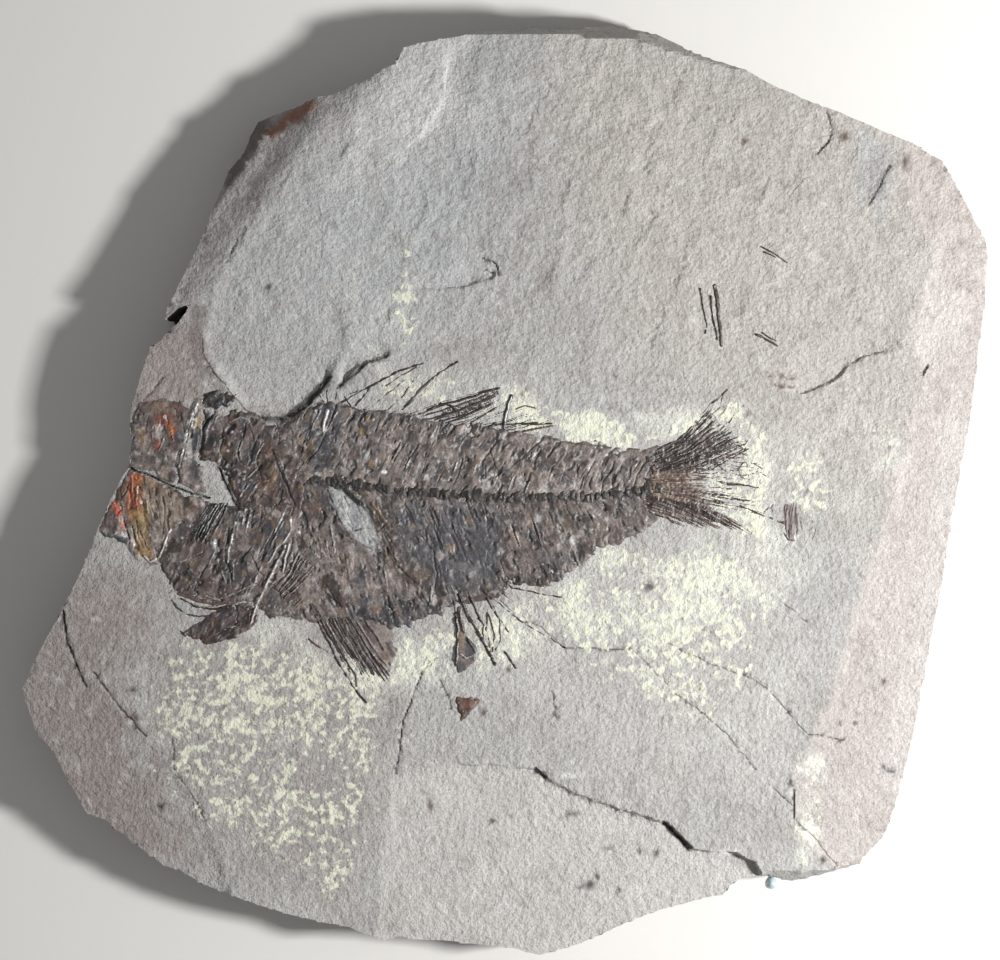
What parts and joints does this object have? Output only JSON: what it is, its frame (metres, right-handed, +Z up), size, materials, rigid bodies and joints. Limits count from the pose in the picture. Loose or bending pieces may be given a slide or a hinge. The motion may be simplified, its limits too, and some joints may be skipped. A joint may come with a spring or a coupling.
{
  "type": "fossil fish slab",
  "caption": "Broken slab of grey shale with a flattened fossil fish, its bones, fins and scaled skin standing in low relief on the top face.",
  "frame": {"origin": "centre of the slab's plan, on the flat underside that it lies on", "axes": "+X from the fish's snout towards its tail, +Y towards the fish's back, +Z up out of the fossil face"},
  "size_m": [0.1504, 0.1455, 0.0127],
  "materials": {
    "shale": "rough split grey shale, matt, with pale yellow mineral specks",
    "dark_bone": "dark brown fossil bone, glossy in patches",
    "rust_bone": "rust-brown fossil bone, glossy in patches",
    "scaled_skin": "grey-brown film of fossil scales, satin",
    "spine_bone": "near-black fossil vertebrae, satin",
    "fin_bone": "brown fossil fin rays, satin",
    "clear_glue": "pale clear glue, glossy"
  },
  "bodies": {
    "root": {"slab": "shale", "skull": "dark_bone", "skull_chip": "dark_bone", "cranium": "dark_bone", "throat_plate": "dark_bone", "jaws": "rust_bone", "gill_cover": "rust_bone", "throat_rays": "rust_bone", "upper_flank": "scaled_skin", "lower_flank": "scaled_skin", "backbone": "spine_bone", "dorsal_fin": "fin_bone", "pectoral_fin": "fin_bone", "pelvic_fin": "fin_bone", "anal_fin": "fin_bone", "tail_fin": "fin_bone", "tail_scrap": "fin_bone", "bone_scrap": "fin_bone", "stray_ray_1": "fin_bone", "stray_ray_2": "fin_bone", "stray_ray_3": "fin_bone", "stray_ray_4": "fin_bone", "glue_bead": "clear_glue"}
  },
  "joints": []
}
